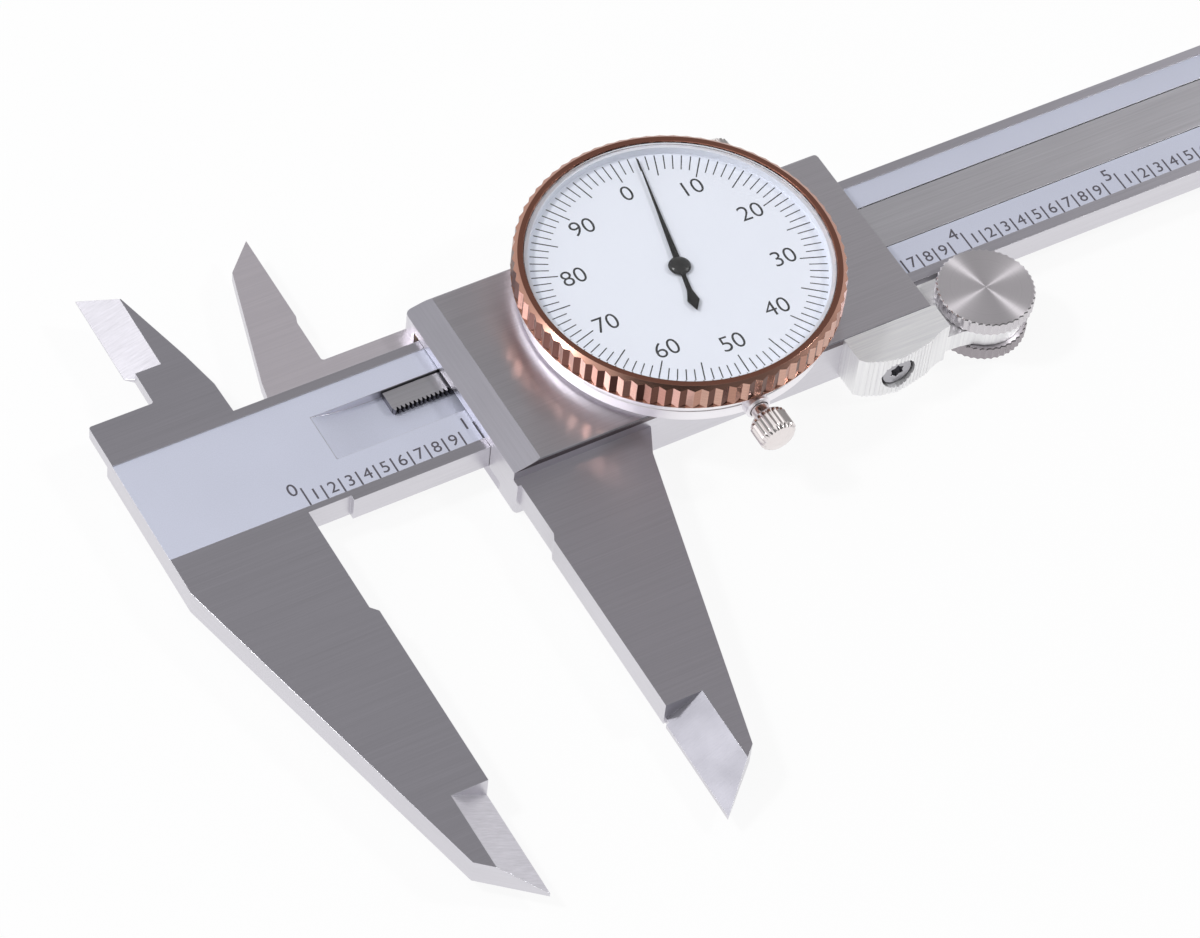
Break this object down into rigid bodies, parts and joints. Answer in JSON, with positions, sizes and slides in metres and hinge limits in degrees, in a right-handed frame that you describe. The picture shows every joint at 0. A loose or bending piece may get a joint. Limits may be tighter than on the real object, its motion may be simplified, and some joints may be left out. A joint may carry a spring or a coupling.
{
  "type": "dial caliper",
  "caption": "Dial caliper for outside, inside and depth measurement: a grooved beam with a toothed rack, a sliding jaw with a clock-type dial, a thumb roller and a depth bar.",
  "frame": {"origin": "middle of the fixed jaw's outside measuring face, on the plane that the jaws close to and half way through the jaw's thickness", "axes": "+X along the beam, the way the slider opens; +Y from the long outside jaws towards the short inside nibs; +Z out of the dial side"},
  "size_m": [0.4258, 0.1094, 0.0164],
  "materials": {
    "beam_steel": "ground and brushed hardened steel, bright on the measuring faces",
    "dark_steel": "milled or drawn steel",
    "bright_steel": "turned bright steel",
    "roller_steel": "spun face with a straight knurled rim",
    "case_silver": "bright turned case",
    "nickel": "bright nickel plate, straight knurl",
    "satin_aluminium": "satin, fine linear grain",
    "copper_bezel": "copper tinted, fluted rim, bright chamfer",
    "brass": "machined brass",
    "dial_white": "matt white lacquer with printed graduations and plain numerals",
    "pointer_black": "satin black",
    "crystal": "clear flat crystal"
  },
  "bodies": {
    "beam": {"beam": "beam_steel", "rack": "dark_steel", "rack_screw_left": "dark_steel", "rack_screw_middle": "dark_steel", "rack_screw_right": "dark_steel", "end_stop_screw": "bright_steel"},
    "slider": {"slider_body": "beam_steel", "back_plate": "beam_steel", "back_plate_screw_1": "bright_steel", "back_plate_screw_2": "bright_steel", "back_plate_screw_3": "bright_steel", "back_plate_screw_4": "bright_steel", "gib_strip": "brass", "gib_screw_1": "dark_steel", "gib_screw_2": "dark_steel", "depth_bar": "dark_steel", "depth_bar_screw_1": "dark_steel", "depth_bar_screw_2": "dark_steel", "thumb_bracket": "satin_aluminium", "bracket_screw": "bright_steel", "dial_case": "case_silver", "case_screw_1": "dark_steel", "case_screw_2": "dark_steel", "case_screw_3": "dark_steel", "bridge_plate": "brass", "bridge_screw_1": "dark_steel", "bridge_screw_2": "dark_steel", "bridge_screw_3": "dark_steel", "pinion_bush": "brass", "bezel_spring_ring": "bright_steel"},
    "pinion": {"rack_pinion": "bright_steel", "main_wheel": "brass", "backlash_wheel": "brass", "backlash_spring": "bright_steel"},
    "pointer": {"centre_arbor": "bright_steel", "pointer": "pointer_black"},
    "bezel": {"bezel_ring": "copper_bezel", "dial_face": "dial_white", "spacer_ring": "satin_aluminium", "crystal": "crystal"},
    "roller": {"roller_top": "roller_steel", "roller_bottom": "roller_steel", "roller_axle": "bright_steel"},
    "lock_pad": {"lock_pad": "brass"},
    "lock_screw": {"lock_screw": "nickel"},
    "clamp_pad": {"clamp_pad": "brass"},
    "clamp_screw": {"clamp_screw": "nickel"}
  },
  "joints": [
    {"name": "slider_slide", "type": "slide", "parent": "beam", "child": "slider", "axis": [1, 0, 0], "range_m": [-0.02545, 0.27932]},
    {"name": "pinion_spin", "type": "hinge", "parent": "slider", "child": "pinion", "pos_m": [0.0517, 0.04098, 0.002], "axis": [0, 0, 1], "continuous": true},
    {"name": "pointer_spin", "type": "hinge", "parent": "slider", "child": "pointer", "pos_m": [0.05895, 0.0416, 0.0044], "axis": [0, 0, 1], "continuous": true},
    {"name": "bezel_turn", "type": "hinge", "parent": "slider", "child": "bezel", "pos_m": [0.05895, 0.0416, 0.0044], "axis": [0, 0, 1], "continuous": true},
    {"name": "roller_spin", "type": "hinge", "parent": "slider", "child": "roller", "pos_m": [0.09818, 0.02505, 0], "axis": [0, 0, 1], "continuous": true},
    {"name": "lock_pad_slide", "type": "slide", "parent": "slider", "child": "lock_pad", "axis": [0, 1, 0], "range_m": [-0.0002, 0.0015]},
    {"name": "lock_screw_turn", "type": "hinge", "parent": "lock_pad", "child": "lock_screw", "pos_m": [0.07878, 0.0583, 0], "axis": [0, 1, 0], "range_deg": [-144.1, 1080.1]},
    {"name": "clamp_pad_slide", "type": "slide", "parent": "slider", "child": "clamp_pad", "axis": [0, -1, 0], "range_m": [-0.00018, 0.00135]},
    {"name": "clamp_screw_turn", "type": "hinge", "parent": "clamp_pad", "child": "clamp_screw", "pos_m": [0.05845, 0.0156, 0.0063], "axis": [0, -1, 0], "range_deg": [-144.1, 1080.1]}
  ],
  "couplings": [
    {"joint": "pinion_spin", "follows": "slider_slide", "rad_per_m": 494.74},
    {"joint": "pointer_spin", "follows": "slider_slide", "rad_per_m": -2473.7},
    {"joint": "roller_spin", "follows": "slider_slide", "rad_per_m": 153.37},
    {"joint": "lock_screw_turn", "follows": "lock_pad_slide", "rad_per_m": 12566},
    {"joint": "clamp_screw_turn", "follows": "clamp_pad_slide", "rad_per_m": 13963}
  ]
}
